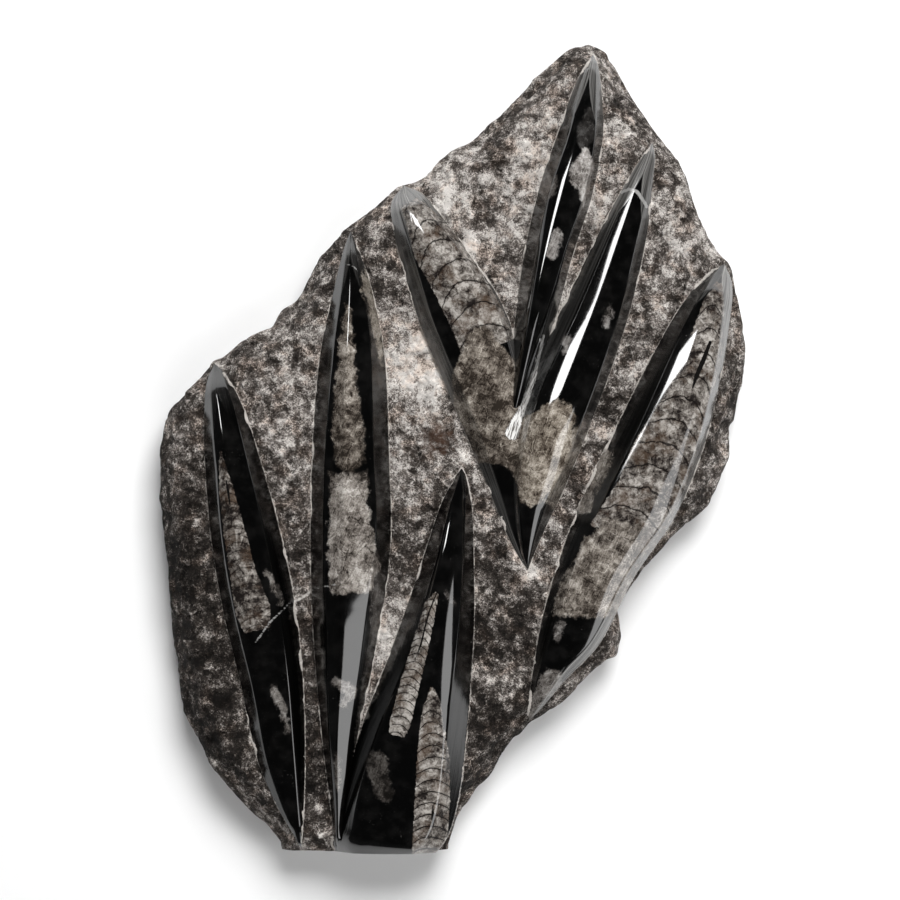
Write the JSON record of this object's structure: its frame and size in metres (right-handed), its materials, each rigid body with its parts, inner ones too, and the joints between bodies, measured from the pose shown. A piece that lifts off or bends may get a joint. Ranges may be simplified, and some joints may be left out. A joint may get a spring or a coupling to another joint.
{
  "type": "orthoceras fossil",
  "caption": "Block of black orthoceras limestone with a rough chiselled front and polished spindle-shaped fossils standing out in high relief, lying on its sawn back.",
  "frame": {"origin": "centre of the bounding box at its bottom, on the sawn back", "axes": "+Y along the block towards its narrow top end, +Z out of the carved front, +X to the right when the front is looked at with +Y up"},
  "size_m": [0.2956, 0.4058, 0.057],
  "materials": {
    "stone": "rough chiselled matrix, polished fossils"
  },
  "bodies": {
    "root": {"fossil_stone": "stone"}
  },
  "joints": []
}
